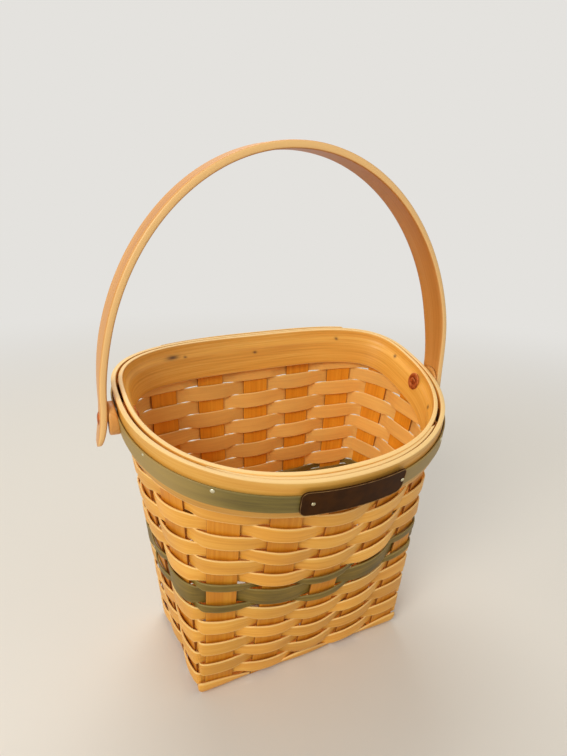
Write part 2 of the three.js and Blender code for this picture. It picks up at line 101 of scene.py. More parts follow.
def placeUprights():
    # Each upright's middle at the bend and its direction round the basket, from the left end of the back.
    x = (np.arange(countAcross) - (countAcross - 1) / 2) * pitchAcross
    y = baseY + (np.arange(countDeep) - (countDeep - 1) / 2) * pitchDeep
    ones, none = np.ones_like, np.zeros_like
    back = np.stack([x, none(x) + baseY + bendY, ones(x), none(x)], axis=1)
    right = np.stack([none(y) + bendX, y[::-1], none(y), -ones(y)], axis=1)
    front = np.stack([x[::-1], none(x) + baseY - bendY, -ones(x), none(x)], axis=1)
    left = np.stack([none(y) - bendX, y, none(y), ones(y)], axis=1)
    return np.concatenate([back, right, front, left])


rimLengths, rimPoints = traceRim()
rimLength = rimLengths[-1]
uprights = placeUprights()
uprightPitch = rimLength / uprightCount


def uprightSteps(along):
    # How many uprights a length round the rim lies past the first one.
    return along / uprightPitch + (countAcross - 1) / 2


def uprightAlong(number):
    return (number - (countAcross - 1) / 2) * uprightPitch


def traceFoot(along):
    # The bend line round the base: straight on an upright, and pulled towards the corner in a corner gap.
    steps = uprightSteps(along)
    nearest = np.round(steps).astype(int)
    offset = ((steps - nearest) * uprightPitch)[:, None]
    here = uprights[nearest % uprightCount]
    onUpright = here[:, :2] + here[:, 2:] * np.clip(offset, -edgeReach, edgeReach)
    free = uprightPitch - 2 * edgeReach
    gap = np.where(offset[:, 0] < -edgeReach, nearest - 1, nearest)
    share = np.where(offset < -edgeReach, 1 + (offset + edgeReach) / free, (offset - edgeReach) / free)
    share = np.clip(share, 0, 1)
    before, after = uprights[gap % uprightCount], uprights[(gap + 1) % uprightCount]
    start = before[:, :2] + before[:, 2:] * edgeReach
    end = after[:, :2] - after[:, 2:] * edgeReach
    point = start + (end - start) * share
    isCorner = np.abs(before[:, 2] - after[:, 2]) > 0.5
    alongX = np.abs(before[:, 2]) > 0.5
    cornerX = np.where(alongX, after[:, 0], before[:, 0])
    cornerY = np.where(alongX, before[:, 1], after[:, 1])
    pull = (isCorner * wall["cornerShare"])[:, None] * 4 * share * (1 - share)
    point = point + (np.stack([cornerX, cornerY], axis=1) - point) * pull
    return np.where(np.abs(offset) <= edgeReach, onUpright, point)


def ease(values, spread):
    # A closed run of points eased by a bell curve of that spread, given in samples.
    reach = int(spread * 3) + 1
    weights = np.exp(-0.5 * (np.arange(-reach, reach + 1) / spread) ** 2)
    weights /= weights.sum()
    ends = np.concatenate([values[-reach:], values, values[:reach]])
    return np.stack([np.convolve(column, weights, mode="valid") for column in ends.T], axis=1)


tableAlong = np.arange(wall["samples"]) * rimLength / wall["samples"]
rimTable = np.stack([np.interp(tableAlong, rimLengths, column) for column in rimPoints.T], axis=1)
footTable = ease(traceFoot(tableAlong), wall["rounding"] * wall["samples"] / rimLength)
footTable = np.concatenate([footTable, np.full((wall["samples"], 1), wall["bendHeight"])], axis=1)
rimStep = np.roll(rimTable, -1, axis=0) - np.roll(rimTable, 1, axis=0)
footStep = np.roll(footTable, -1, axis=0) - np.roll(footTable, 1, axis=0)


def readTable(table, along):
    # A closed table read between its samples, at any lengths round the rim.
    spot = np.mod(np.asarray(along, float), rimLength) / rimLength * len(table)
    low = np.floor(spot).astype(int)
    part = (spot - low)[..., None]
    return table[low % len(table)] * (1 - part) + table[(low + 1) % len(table)] * part


def wallFrame(along, level=0.0):
    # The point up the wall from the bend, the way up, the way out and the wall's whole length there.
    foot, rim = readTable(footTable, along), readTable(rimTable, along)
    rise = rim - foot
    length = np.linalg.norm(rise, axis=-1, keepdims=True)
    up = rise / length
    level = np.asarray(level, float)[..., None]
    part = level / length
    side = readTable(footStep, along) * (1 - part) + readTable(rimStep, along) * part
    out = np.cross(up, side)
    out /= np.linalg.norm(out, axis=-1, keepdims=True)
    return foot + up * level, up, out, length[..., 0]


def wallPoints(along, level, offset):
    along, level, offset = np.broadcast_arrays(along, level, offset)
    point, _, out, _ = wallFrame(along, level)
    return point + out * offset[..., None]


def wallLength(along):
    return wallFrame(along)[3]


def smoothStep(value):
    value = np.clip(value, 0, 1)
    return value * value * (3 - 2 * value)


def drawnIn(along, start, startRun, end, endRun):
    # 1 between two lengths round the rim, with a soft run from 0 inside each.
    return smoothStep((along - start) / startRun) * smoothStep((end - along) / endRun)


def flare(drop):
    # How far outwards the wall has turned at a depth below the rim line.
    return wall["flare"] * (1 - smoothStep(drop / wall["flareDepth"]))


def wander(along, steps, seed):
    # Slow random change round the basket, between -1 and 1: random values with soft steps between them.
    values = np.random.default_rng(seed).uniform(-1, 1, steps)
    spot = np.mod(along, rimLength) / rimLength * steps
    low = np.floor(spot).astype(int)
    part = smoothStep(spot - low)
    return values[low % steps] * (1 - part) + values[(low + 1) % steps] * part


def stripProfile(height, thickness, easing, across=1, support=0.5):
    # A rounded rectangle as (up, out) pairs: one face and two corners, then the same turned half round.
    easing = min(easing, thickness * 0.49, height * 0.49)
    high, wide = height / 2 - easing, thickness / 2 - easing
    turn = np.linspace(0, math.pi / 2, 4)
    lines = np.linspace(-1, 1, across + 1) * (high - support)
    half = np.concatenate([
        np.stack([lines, np.full(across + 1, thickness / 2)], axis=1),
        np.stack([high + easing * np.sin(turn), wide + easing * np.cos(turn)], axis=1),
        np.stack([high + easing * np.cos(turn), -wide - easing * np.sin(turn)], axis=1),
    ])
    return np.concatenate([half, -half])


def gridFaces(rows, columns, isRing):
    # Four-sided faces over a grid whose last column joins the first; in a ring the last row does so too.
    r = np.arange(rows if isRing else rows - 1)[:, None]
    c = np.arange(columns)[None, :]
    here, there, nextColumn = r * columns, (r + 1) % rows * columns, (c + 1) % columns
    corners = [here + c, here + nextColumn, there + nextColumn, there + c]
    return np.stack(np.broadcast_arrays(*corners), axis=-1).reshape(-1, 4)


def signedVolume(points, faces):
    a, b, c, d = (points[faces[:, i]] for i in range(4))
    return float((np.cross(a, b) * c).sum() + (np.cross(a, c) * d).sum())


def makePiece(name, grid, isRing, material, replaces=(), grain=None, tone=None, body="basket"):
    # A grid of points (rows along, columns round the profile) becomes a closed mesh with its grain and tone.
    rows, columns = grid.shape[:2]
    points = grid.reshape(-1, 3)
    faces = gridFaces(rows, columns, isRing)
    isTurned = signedVolume(points, faces) < 0
    if isTurned:
        faces = faces[:, ::-1]
    lists = faces.tolist()
    if not isRing:
        start, end = list(range(columns)), list(range((rows - 1) * columns, rows * columns))
        lists += [start if isTurned else start[::-1], end[::-1] if isTurned else end]
    mesh = bpy.data.meshes.new(name)
    mesh.from_pydata((points * mm).tolist(), [], lists)
    mesh.shade_smooth()
    grain = np.zeros_like(points) if grain is None else grain.reshape(-1, 3)
    tone = np.tile([0.5, 0.0, 0.0], (len(points), 1)) if tone is None else tone.reshape(-1, 3)
    tone = np.concatenate([tone, np.ones((len(points), 1))], axis=1)
    for key, kind, field, values in (("grain", "VECTOR", "vector", grain), ("tone", "COLOR", "color", tone)):
        layer = mesh.attributes.new(key, "FLOAT_" + kind, "POINT")
        layer.data.foreach_set(field, np.ascontiguousarray(values.ravel(), dtype=np.float32))
    mesh.materials.append(material)
    piece = bpy.data.objects.new(name, mesh)
    bpy.context.collection.objects.link(piece)
    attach(piece, body)
    if replaces:
        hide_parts(*replaces)


def wallStrip(along, low, high, offset, profile, tilt=0.0):
    # A profile carried round the wall: its up runs up the wall between low and high, its out off the wall.
    low, high, offset, tilt = (np.broadcast_to(v, np.shape(along)) for v in (low, high, offset, tilt))
    middle, half = (low + high) / 2, (high - low) / 2
    up = profile[None, :, 0] / np.abs(profile[:, 0]).max()
    level = middle[:, None] + up * half[:, None]
    out = offset[:, None] + profile[None, :, 1] + tilt[:, None] * up * half[:, None]
    return wallPoints(along[:, None], level, out)


strand = {
    "seedStep": 0.37,  # how far apart the grain of two pieces lies, for seeds that differ by 1
    "depthShare": 0.6,
    "ownShare": 0.55,  # how much of a strip's change in lightness is all its own; the rest runs along it
    "toneSteps": 21,
    "ownSeed": 500,  # added to a piece's seed
    "toneSeed": 900,
    "edgeSoftness": 0.8,
}


def stripGrain(along, profile, seed):
    # The length runs round a circle, so a ring's grain has no seam; the seed sets each piece's grain apart.
    radius = rimLength / (2 * math.pi)
    grain = np.zeros((len(along), len(profile), 3))
    grain[..., 0] = radius * mm * np.cos(along / radius)[:, None] + seed * strand["seedStep"]
    grain[..., 1] = radius * mm * np.sin(along / radius)[:, None]
    grain[..., 2] = (profile[:, 0] + strand["depthShare"] * profile[:, 1])[None, :] * mm
    return grain


def stripTone(along, profile, height, seed, spread, edgeWidth=0.75):
    # Red is lightness, which on some faces carries painted light and shade; green marks the thin edges,
    # painted with a highlight and wear, and on the uprights with shade; blue marks knots and stains, and on
    # the bail painted shade.
    tone = np.zeros((len(along), len(profile), 3))
    own = np.random.default_rng(seed + strand["ownSeed"]).uniform(-1, 1)
    change = wander(along, strand["toneSteps"], seed + strand["toneSeed"])
    mixed = strand["ownShare"] * own + (1 - strand["ownShare"]) * change
    tone[..., 0] = 0.5 + spread * mixed[:, None]
    edge = smoothStep((np.abs(profile[:, 0]) - height / 2 + edgeWidth) / (edgeWidth * strand["edgeSoftness"]))
    tone[..., 1] = edge[None, :]
    return tone


def paint(red, green, blue):
    # A colour picked on screen, 0 to 255, as the light values a shader takes.
    value = np.array([red, green, blue]) / 255
    linear = np.where(value <= 0.04045, value / 12.92, ((value + 0.055) / 1.055) ** 2.4)
    return (*linear.tolist(), 1.0)


def addNode(tree, kind, feeds={}, values={}, **options):
    # A node with its options set, its constant inputs filled and its other inputs fed by outputs.
    node = tree.nodes.new("ShaderNode" + kind)
    for key, option in options.items():
        setattr(node, key, option)
    for key, value in values.items():
        node.inputs[key].default_value = value
    for key, source in feeds.items():
        tree.links.new(source, node.inputs[key])
    return node


def stretchedNoise(tree, grain, scales, detail):
    # Noise drawn out along the grain by a different scale along and across it.
    along, across = scales
    place = addNode(tree, "VectorMath", {0: grain}, {1: (along, along, across)}, operation="MULTIPLY")
    values = {"Scale": 1.0, "Detail": detail, "Roughness": 0.55}
    return addNode(tree, "TexNoise", {"Vector": place.outputs[0]}, values).outputs["Fac"]


def tinted(tree, colour, mask, tint, amount):
    # The colour moved towards a tint where the mask is bright.
    strength = addNode(tree, "Math", {0: mask}, {1: amount}, operation="MULTIPLY").outputs[0]
    return addNode(tree, "Mix", {0: strength, 6: colour}, {7: paint(*tint)}, data_type="RGBA").outputs[2]


def ranged(tree, value, limits):
    # A value from 0 to 1 spread between two limits.
    low, high = limits
    return addNode(tree, "MapRange", {"Value": value}, {"To Min": low, "To Max": high}).outputs["Result"]


def ramped(tree, value, limits, colours):
    # The colours at even places between two limits, read at the value.
    ramp = addNode(tree, "ValToRGB", {"Fac": value})
    stops = ramp.color_ramp.elements
    stops[0].position, stops[1].position = limits
    stops[0].color, stops[1].color = paint(*colours[0]), paint(*colours[-1])
    for place, colour in list(zip(np.linspace(*limits, len(colours)), colours))[1:-1]:
        stops.new(place).color = paint(*colour)
    return ramp.outputs["Color"]


def startMaterial(name):
    material = bpy.data.materials.new(name)
    material.use_nodes = True
    return material, material.node_tree, material.node_tree.nodes["Principled BSDF"]


def finishMaterial(tree, shader, settings, colour, polish, height, depth):
    # One noise sets how polished the surface is, and another its relief.
    rough = ranged(tree, polish, settings["roughness"])
    bump = addNode(tree, "Bump", {"Height": height}, {"Strength": settings["bump"], "Distance": depth})
    for key, source in (("Base Color", colour), ("Roughness", rough), ("Normal", bump.outputs["Normal"])):
        tree.links.new(source, shader.inputs[key])


def woodMaterial(name, settings):
    # Fibres are noise stretched along the strip, the figure is slower noise; both move between three colours.
    material, tree, shader = startMaterial(name)
    grain = addNode(tree, "Attribute", attribute_name="grain").outputs["Vector"]
    tone = addNode(tree, "Attribute", attribute_name="tone").outputs["Color"]
    split = addNode(tree, "SeparateColor", {"Color": tone}).outputs
    fibre = stretchedNoise(tree, grain, settings["fibre"], 4.0)
    figure = stretchedNoise(tree, grain, settings["figure"], 3.0)
    both = addNode(tree, "Mix", {2: fibre, 3: figure}, {0: settings["figureShare"]}).outputs[0]
    colour = ramped(tree, both, settings.get("contrast", (0.3, 0.7)), settings["colours"])
    gain = ranged(tree, split["Red"], settings["toneRange"])
    colour = addNode(tree, "HueSaturation", {"Value": gain, "Color": colour}).outputs["Color"]
    # Thin edges tinted: a painted highlight with wear, and on the uprights a painted shade.
    colour = tinted(tree, colour, split["Green"], settings["edge"], settings["edgeAmount"])
    # Knots and stains, and on the bail a painted shade.
    colour = tinted(tree, colour, split["Blue"], settings["markAndShade"], 1.0)
    finishMaterial(tree, shader, settings, colour, figure, fibre, 0.0004)
    return material


# Pale edge colours stand for wear and a painted highlight on the strips' thin edges.
weaverWood = woodMaterial("weaverWood", {
    "colours": [(220, 146, 44), (236, 168, 62), (248, 192, 90)], "toneRange": (0.78, 1.16),
    "edge": (255, 220, 146), "edgeAmount": 0.7, "markAndShade": (120, 68, 20),
    "fibre": (26.0, 900.0), "figure": (14.0, 120.0), "figureShare": 0.55,
    "roughness": (0.38, 0.56), "bump": 0.18,
})
# The uprights' dark edge colour is painted shade along their sides, beside the rows.
uprightWood = woodMaterial("uprightWood", {
    "colours": [(206, 124, 16), (222, 142, 26), (234, 162, 44)], "toneRange": (0.8, 1.16),
    "edge": (112, 58, 14), "edgeAmount": 0.8, "markAndShade": (96, 52, 18),
    "fibre": (18.0, 760.0), "figure": (10.0, 160.0), "figureShare": 0.4,
    "roughness": (0.42, 0.6), "bump": 0.25,
})
bandWood = woodMaterial("bandWood", {
    "colours": [(208, 138, 48), (232, 168, 68), (246, 194, 98)], "toneRange": (0.7, 1.14),
    "edge": (255, 222, 156), "edgeAmount": 0.7, "markAndShade": (72, 38, 16),
    "fibre": (16.0, 1100.0), "figure": (9.0, 210.0), "figureShare": 0.5,
    "roughness": (0.36, 0.52), "bump": 0.3,
})
# The bail's pale edge colour is a painted highlight on its narrow faces.
bailWood = woodMaterial("bailWood", {
    "colours": [(198, 129, 52), (220, 154, 74), (232, 175, 100)], "toneRange": (0.84, 1.12),
    # Here the mark colour is painted shade on the inner face under the crown.
    "edge": (250, 212, 146), "edgeAmount": 0.6, "markAndShade": (150, 66, 0), "contrast": (0.28, 0.72),
    "fibre": (12.0, 900.0), "figure": (7.0, 150.0), "figureShare": 0.5,
    "roughness": (0.34, 0.5), "bump": 0.22,
})
greenWood = woodMaterial("greenWood", {
    "colours": [(90, 71, 16), (117, 94, 24), (146, 118, 38)], "toneRange": (0.76, 1.18),
    "edge": (158, 140, 82), "edgeAmount": 0.5, "markAndShade": (60, 48, 20),
    "fibre": (30.0, 700.0), "figure": (34.0, 130.0), "figureShare": 0.62,
    "roughness": (0.44, 0.62), "bump": 0.2,
})
trimWood = woodMaterial("trimWood", {
    "colours": [(88, 74, 26), (113, 97, 36), (138, 119, 52)], "toneRange": (0.8, 1.16),
    "edge": (146, 132, 76), "edgeAmount": 0.4, "markAndShade": (178, 148, 84),
    "fibre": (22.0, 800.0), "figure": (30.0, 240.0), "figureShare": 0.6,
    "roughness": (0.42, 0.6), "bump": 0.2,
})


def metalMaterial(name, settings):
    # Metal whose colour and polish change with tarnish, a slow noise over the piece's own place.
    material, tree, shader = startMaterial(name)
    shader.inputs["Metallic"].default_value = settings["metallic"]
    shader.inputs["Specular IOR Level"].default_value = settings.get("specular", 0.5)
    place = addNode(tree, "TexCoord").outputs["Object"]
    values = {"Scale": settings["tarnishScale"], "Detail": 4.0}
    tarnish = addNode(tree, "TexNoise", {"Vector": place}, values).outputs["Fac"]
    colour = ramped(tree, tarnish, (0.35, 0.65), settings["colours"])
    finishMaterial(tree, shader, settings, colour, tarnish, tarnish, 0.0002)
    return material


copperMetal = metalMaterial("copperMetal", {
    "colours": [(168, 84, 36), (214, 126, 66)], "metallic": 0.75,
    "tarnishScale": 420.0, "roughness": (0.42, 0.58), "bump": 0.12,
})
plateMetal = metalMaterial("plateMetal", {
    "colours": [(52, 27, 3), (66, 36, 6)], "metallic": 0.0, "specular": 0.08,
    "tarnishScale": 160.0, "roughness": (0.5, 0.64), "bump": 0.06,
})
plateEdgeMetal = metalMaterial("plateEdgeMetal", {
    "colours": [(96, 66, 34), (150, 116, 70)], "metallic": 0.7,
    "tarnishScale": 200.0, "roughness": (0.4, 0.55), "bump": 0.06,
})
bradMetal = metalMaterial("bradMetal", {
    "colours": [(186, 176, 140), (226, 220, 192)], "metallic": 1.0,
    "tarnishScale": 300.0, "roughness": (0.22, 0.36), "bump": 0.1,
})
print("materials made")

# Weaving rows
weave = {
    "thickness": 1.1,
    "easing": 0.42,
    "start": 3.0,
    "gap": 0.35,
    "rowHeight": 9.25,
    "stripes": (("lower", 4.15), ("wide", 12.6), ("upper", 4.15)),
    "rowsBelow": 7,
    "rowsAbove": 8,
    "backReach": (2, 1),  # how many uprights each back row passes at either side of the back
    "frontMargin": 7.9,
    "backMargin": 14.2,
    "cornerLift": 6.0,
    "heldSwing": 1.4,  # how far a row swings off the uprights' middle between the bands
    "crownBulge": 0.8,  # and how much further where it is free
    "crownSpread": 0.7,
    "crownFade": 8.0,
    "heldSoftness": 2.2,
    "freeSoftness": 0.45,
    "endShare": 0.56,
    "bulgeChange": 0.35,
    "levelChange": 0.13,
    "tiltChange": 0.04,
    "opening": 0.45,  # how much a strip may draw in between uprights, which opens a slit
    "openingSteps": (53, 20),  # random changes round the basket, and what is added to the row's seed
    "levelSteps": (37, 40),
    "tiltSteps": (19, 80),
    "spreadFrom": 0.1,  # the wave's height where a crown starts to widen, and the run to its full width
    "spreadRun": 0.5,
    "samplesPerUpright": 26,
    "toneSpread": 0.42,
    "insideLighter": 0.28,  # the inner face painted lighter and, by the next, paler: painted light, as fitted to the photograph
    "insidePaler": 0.42,
}
bands = {
    "height": 23.8,
    "thickness": 2.9,
    "inner": 2.25,  # the near face, off the uprights' middle
    "pinch": (0.1, 0.25),  # how far the near and the far face come in at the top, over the uprights' ends
    "pinchDepth": 4.5,
    "apart": (273.0, 72.0, 1.1),  # where, how far round and by what share the filler keeps them apart
    "easing": 0.55,
    "samples": 720,
    "toneSpread": 0.16,
}
splintTopDrop = 3.0


def planRows():
    # Every row's name, number, reach at the back, and its levels at full spacing, from the base up.
    full = weave["rowHeight"]
    kinds = [(f"lower_row_{i + 1}", full, None) for i in range(weave["rowsBelow"])]
    kinds += [(f"stripe_{word}", height, None) for word, height in weave["stripes"]]
    kinds += [(f"upper_row_{i + 1}", full, None) for i in range(weave["rowsAbove"])]
    kinds += [(f"back_row_{i + 1}", full, reach) for i, reach in enumerate(weave["backReach"])]
    rows, low = [], weave["start"]
    for index, (name, height, reach) in enumerate(kinds):
        rows.append({"name": name, "number": index + 1, "low": low, "high": low + height, "reach": reach})
        low += height + weave["gap"]
    return rows


rows = planRows()
closedTop = max(row["high"] for row in rows if row["reach"] is None)
frontPacking = (wall["frontHeight"] - weave["frontMargin"]) / closedTop
backPacking = (wall["backHeight"] - weave["backMargin"]) / rows[-1]["high"]
cornerRound = (countAcross - 1) / uprightCount


def rowLevel(along, level):
    # Where a row's level comes to lie: packed closer at the front, and lifted by sin^2 at the front corners.
    rise = (readTable(rimTable, along)[..., 1] + rimDepth / 2) / rimDepth
    packing = frontPacking + (backPacking - frontPacking) * rise
    fromFront = np.abs(2 * np.mod(along / rimLength, 1) - 1)
    share = np.where(fromFront < cornerRound, fromFront / cornerRound, (1 - fromFront) / (1 - cornerRound))
    return level * packing + weave["cornerLift"] * np.sin(share * math.pi / 2) ** 2


def makeRow(row):
    # A soft wave, out on every other upright: swing tanh(s w) / tanh(s) with w = cos of the step round.
    height, number = row["high"] - row["low"], row["number"]
    profile = stripProfile(height, weave["thickness"], weave["easing"])
    step = uprightPitch / weave["samplesPerUpright"]
    if row["reach"] is None:
        along = uprightAlong(0.5) + np.arange(uprightCount * weave["samplesPerUpright"]) * step
    else:
        over = edgeReach * (1 - weave["endShare"])
        start = uprightAlong(-row["reach"]) + over
        end = uprightAlong(countAcross - 1 + row["reach"]) - over
        along = np.linspace(start, end, int((end - start) / step) + 1)

    def change(key):
        steps, addedSeed = weave[key]
        return wander(along, steps, number + addedSeed)

    wave = np.cos(math.pi * (uprightSteps(along) + number))
    room = wallLength(along) - bands["height"] - rowLevel(along, row["high"])
    crown = smoothStep(room / weave["crownFade"])
    more = np.clip(wander(along, uprightCount * 2, number), 0, 1)
    swing = weave["heldSwing"] + crown * (weave["crownBulge"] + weave["bulgeChange"] * more)
    softness = weave["heldSoftness"] + (weave["freeSoftness"] - weave["heldSoftness"]) * crown
    drop = wallLength(along) - rowLevel(along, (row["low"] + row["high"]) / 2)
    offset = swing * np.tanh(softness * wave) / np.tanh(softness) + flare(drop)
    opening = weave["opening"] * np.clip(change("openingSteps"), 0, 1) ** 2 * (1 - wave ** 2) / 2
    wide = smoothStep((np.abs(wave) - weave["spreadFrom"]) / weave["spreadRun"])
    spread = crown * weave["crownSpread"] * wide - opening
    wobble = weave["levelChange"] * change("levelSteps")
    tilt = weave["tiltChange"] * change("tiltSteps") * crown
    low, high = rowLevel(along, row["low"]) + wobble - spread, rowLevel(along, row["high"]) + wobble + spread
    grid = wallStrip(along, low, high, offset, profile, tilt)
    tone = stripTone(along, profile, height, number, weave["toneSpread"])
    # The inner face painted lighter and paler: painted light on the inside of the basket.
    isInside = profile[:, 1] < 0
    tone[..., 0] += weave["insideLighter"] * isInside
    tone[..., 1] = np.maximum(tone[..., 1], weave["insidePaler"] * isInside)
    isGreen = row["name"].startswith("stripe")
    material, slot = (greenWood, "green_weaver") if isGreen else (weaverWood, "weaver")
    makePiece(row["name"] + "_strip", grid, row["reach"] is None, material, [row["name"]],
              stripGrain(along, profile, number), tone)


for row in rows:
    makeRow(row)
print("rows woven")

# Upright splints, each one down a wall, across the base and up the other wall
splint = {
    "thickness": 1.1,
    "easing": 0.35,
    "lowHeight": 0.55,
    "highHeight": 1.95,
    "wallSteps": 150,
    "baseSteps": 110,
    "easeTimes": 16,
    "toneSpread": 0.3,
    "edgeWidth": 0.3,
    # The inner face painted lighter as painted light, the outer face painted darker as painted shade.
    "insideLighter": 0.5,
    "outsideDarker": 0.3,
    "frontSeed": 60,
    "sideSeed": 70,
}


def makeSplint(name, near, far, pitch, heights, seed):
    # The wall line on each side is carried on to the base run, and the bends are eased after that.
    profile = stripProfile(wall["uprightWidth"], splint["thickness"], splint["easing"], across=6)
    across, out = profile[:, 0], profile[:, 1]
    station = uprights[near % uprightCount]
    inward = np.array([station[3], -station[2]])
    count = len(heights)

    def wallRun(along, height):
        foot, up, outward, length = wallFrame(along)
        start = (height - out - foot[:, 2] - outward[:, 2] * out) / up[:, 2]
        top = length - splintTopDrop
        level = start[None, :] + (top - start)[None, :] * np.linspace(0, 1, splint["wallSteps"])[:, None]
        return wallPoints(along[None, :], level, out[None, :] + flare(length[None, :] - level))

    nearWall = wallRun(uprightAlong(near) + across, heights[0])[::-1]
    farWall = wallRun(uprightAlong(far) - across, heights[-1])
    share = np.linspace(0, 1, splint["baseSteps"] + 2)[1:-1, None, None]
    base = nearWall[-1] + (farWall[0] - nearWall[-1]) * share
    foot = station[:2] + station[2:] * across[:, None]
    run = ((base[..., :2] - foot) * inward).sum(axis=-1)
    crossing = wall["cornerSetback"] + halfUpright + np.arange(count) * pitch
    knots = np.stack([crossing - edgeReach, crossing + edgeReach], axis=1).ravel()
    base[..., 2] = np.interp(run, knots, np.repeat(heights, 2)) - out[None, :]
    grid = np.concatenate([nearWall, base, farWall])
    for _ in range(splint["easeTimes"]):
        grid[1:-1] = (grid[:-2] + 2 * grid[1:-1] + grid[2:]) / 4
    trail = runningLength(np.linalg.norm(np.diff(grid[:, 0], axis=0), axis=1))
    tone = stripTone(trail, profile, wall["uprightWidth"], seed, splint["toneSpread"], splint["edgeWidth"])
    # Painted light on the inner face and painted shade on the outer face.
    tone[..., 0] += np.where(out < 0, splint["insideLighter"], -splint["outsideDarker"])
    makePiece(name + "_strip", grid, False, uprightWood, [name],
              stripGrain(trail, profile, seed), tone)


# Over and under in the base: the heights go by turns, from splint to splint and from crossing to crossing
heightTurns = [splint["highHeight"], splint["lowHeight"]]
for i in range(countAcross):
    heights = [heightTurns[(i + j) % 2] for j in range(countDeep)]
    front = 2 * countAcross + countDeep - 1 - i
    makeSplint(f"front_back_splint_{i + 1}", front, i, pitchDeep, heights, splint["frontSeed"] + i)
for j in range(countDeep):
    heights = [heightTurns[(i + j + 1) % 2] for i in range(countAcross)]
    right = countAcross + countDeep - 1 - j
    makeSplint(f"side_splint_{j + 1}", j - countDeep, right, pitchAcross, heights, splint["sideSeed"] + j)
print("splints set")

# The front side splint's edge, which curls up outside every other front upright
lips = {
    "thickness": 1.0,
    "inset": 6.0,
    "bendOut": 3.4,
    "offset": 1.6,
    "lowEdge": 0.8,  # the least height of its upper edge
    "cornerFall": 1.6,  # how fast the bend draws in where the edge is low
    "grainWidth": 8.0,
    "toneWidth": 8.6,
    "firstSeed": 120,
    "steps": 60,
    "acrossSteps": 12,
    # upright, reach to its left and right, share where it is highest, height, its share at either end
    "places": (
        (12, 19.0, 24.0, 0.14, 10.5, 0.85, 0.25),
        (10, 24.0, 23.0, 0.45, 8.4, 0.3, 0.3),
        (8, 24.0, 17.0, 0.8, 9.6, 0.28, 0.8),
    ),
}


def makeLip(number, upright, leftReach, rightReach, peak, height, startShare, endShare):
    # Across, a curve (1-v)^2 base + 2v(1-v) corner + v^2 top; along, it rises and falls as a sine.
    share = np.linspace(0, 1, lips["steps"])
    along = uprightAlong(upright) + leftReach - share * (leftReach + rightReach)
    up = startShare + (1 - startShare) * np.sin(math.pi / 2 * np.clip(share / peak, 0, 1))
    down = endShare + (1 - endShare) * np.sin(math.pi / 2 * np.clip((1 - share) / (1 - peak), 0, 1))
    rise = np.where(share < peak, up, down)
    foot, _, out, _ = wallFrame(along)
    outward = out * [1, 1, 0]
    outward /= np.linalg.norm(outward, axis=-1, keepdims=True)
    flatHeight = np.array([0, 0, splint["lowHeight"] - wall["bendHeight"]])
    base = foot - outward * lips["inset"] + flatHeight
    bendOut = lips["bendOut"] * (1 - lips["cornerFall"] * (1 - rise))
    corner = foot + outward * bendOut[:, None] + flatHeight
    top = wallPoints(along, lips["lowEdge"] + (height - lips["lowEdge"]) * rise, lips["offset"] * rise)
    v = np.linspace(0, 1, lips["acrossSteps"])[None, :, None]
    sheet = (1 - v) ** 2 * base[:, None] + 2 * v * (1 - v) * corner[:, None] + v ** 2 * top[:, None]
    face = np.cross(np.gradient(sheet, axis=0), np.gradient(sheet, axis=1))
    face /= np.linalg.norm(face, axis=-1, keepdims=True)
    half = lips["thickness"] / 2
    grid = np.concatenate([sheet + face * half, (sheet - face * half)[:, ::-1]], axis=1)
    across = np.linspace(-0.5, 0.5, lips["acrossSteps"]) * lips["grainWidth"]
    profile = np.stack([across, across * 0], axis=1)
    profile = np.concatenate([profile, profile[::-1]])
    seed = lips["firstSeed"] + number
    tone = stripTone(along, profile, lips["toneWidth"], seed, splint["toneSpread"])
    makePiece(f"side_splint_1_lip_{number}", grid, False, weaverWood, (),
              stripGrain(along, profile, seed), tone)


for number, place in enumerate(lips["places"]):
    makeLip(number + 1, *place)
print("base edge curled")

# Rim bands, the outer one's lap, the filler between them, and the green strip over them
bandMarks = [  # length round the rim, drop from its top, half length and half height of each knot, in mm
    (478.4, 7.0, 4.2, 1.1),
    (536.7, 11.0, 1.3, 0.8),
    (62.6, 6.5, 1.2, 0.8),
    (113.8, 6.5, 1.2, 0.9),
    (170.4, 7.8, 1.6, 0.8),
    (487.0, 8.0, 1.0, 0.6),
]
outerLap = {
    "from": -64.0, "to": 69.7, "height": 7.4, "thickness": 1.2, "inner": 5.2, "drop": -0.5, "easing": 0.4,
    "samples": 160, "taper": (60.0, 0.6), "toneSpread": 0.16,
}
filler = {
    "from": 200.0, "to": 346.0, "height": 2.1, "thickness": 2.4, "middle": 0.35, "drop": 0.7, "easing": 0.5,
    "samples": 200, "taper": (4.0, 16.0), "toneSpread": 0.2, "lighter": -0.2,
}
# The inner band is painted lighter as painted light inside the basket, the outer band a little darker as
# painted shade.
innerBand = {**bands, "pinch": (1.55, 2.0), "follow": 1.0, "across": 30, "lighter": 0.4, "marks": bandMarks}
outerBand = {**bands, "shaded": 0.6, "lighter": -0.12}
trim = {
    "height": 11.1, "thickness": 0.9, "inner": 5.6, "drop": 7.6, "easing": 0.3, "samples": 720,
    "toneSpread": 0.3,
}
thinEnd = 0.1  # the share of its size that a tapered end keeps


